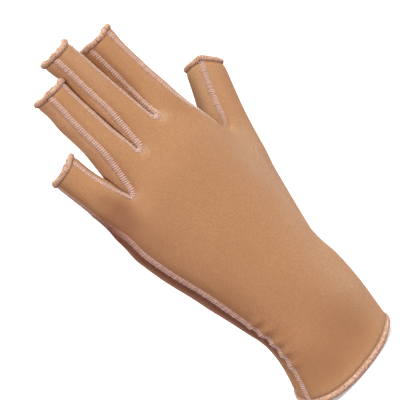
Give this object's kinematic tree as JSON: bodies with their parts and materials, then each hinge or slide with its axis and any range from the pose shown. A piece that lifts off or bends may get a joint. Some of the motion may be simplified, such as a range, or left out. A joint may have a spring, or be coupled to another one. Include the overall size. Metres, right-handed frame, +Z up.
{
  "type": "compression glove",
  "caption": "Open-fingertip compression glove of stretch knit for a left hand, with raised outside seams, finger gussets and a rolled hem at each opening.",
  "frame": {"origin": "middle of the wrist opening", "axes": "+Z up the fingers, -Y out of the back of the hand, +X to the thumb side"},
  "size_m": [0.1066, 0.0456, 0.1995],
  "materials": {
    "knit": "tan nylon and elastane knit, matt",
    "thread": "pale pinkish overlock thread over tan knit",
    "hem": "rolled tan knit overcast with pale thread"
  },
  "bodies": {
    "root": {"hand_panel": "knit", "gusset_little_ring": "knit", "gusset_ring_middle": "knit", "gusset_middle_index": "knit", "seam_back_little_ring": "thread", "seam_back_ring_middle": "thread", "seam_back_middle_index": "thread", "seam_palm_little_ring": "thread", "seam_palm_ring_middle": "thread", "seam_palm_middle_index": "thread", "seam_side": "thread", "seam_web": "thread", "hem_little": "hem", "hem_ring": "hem", "hem_middle": "hem", "hem_index": "hem", "hem_thumb": "hem", "hem_wrist": "hem"}
  },
  "joints": []
}
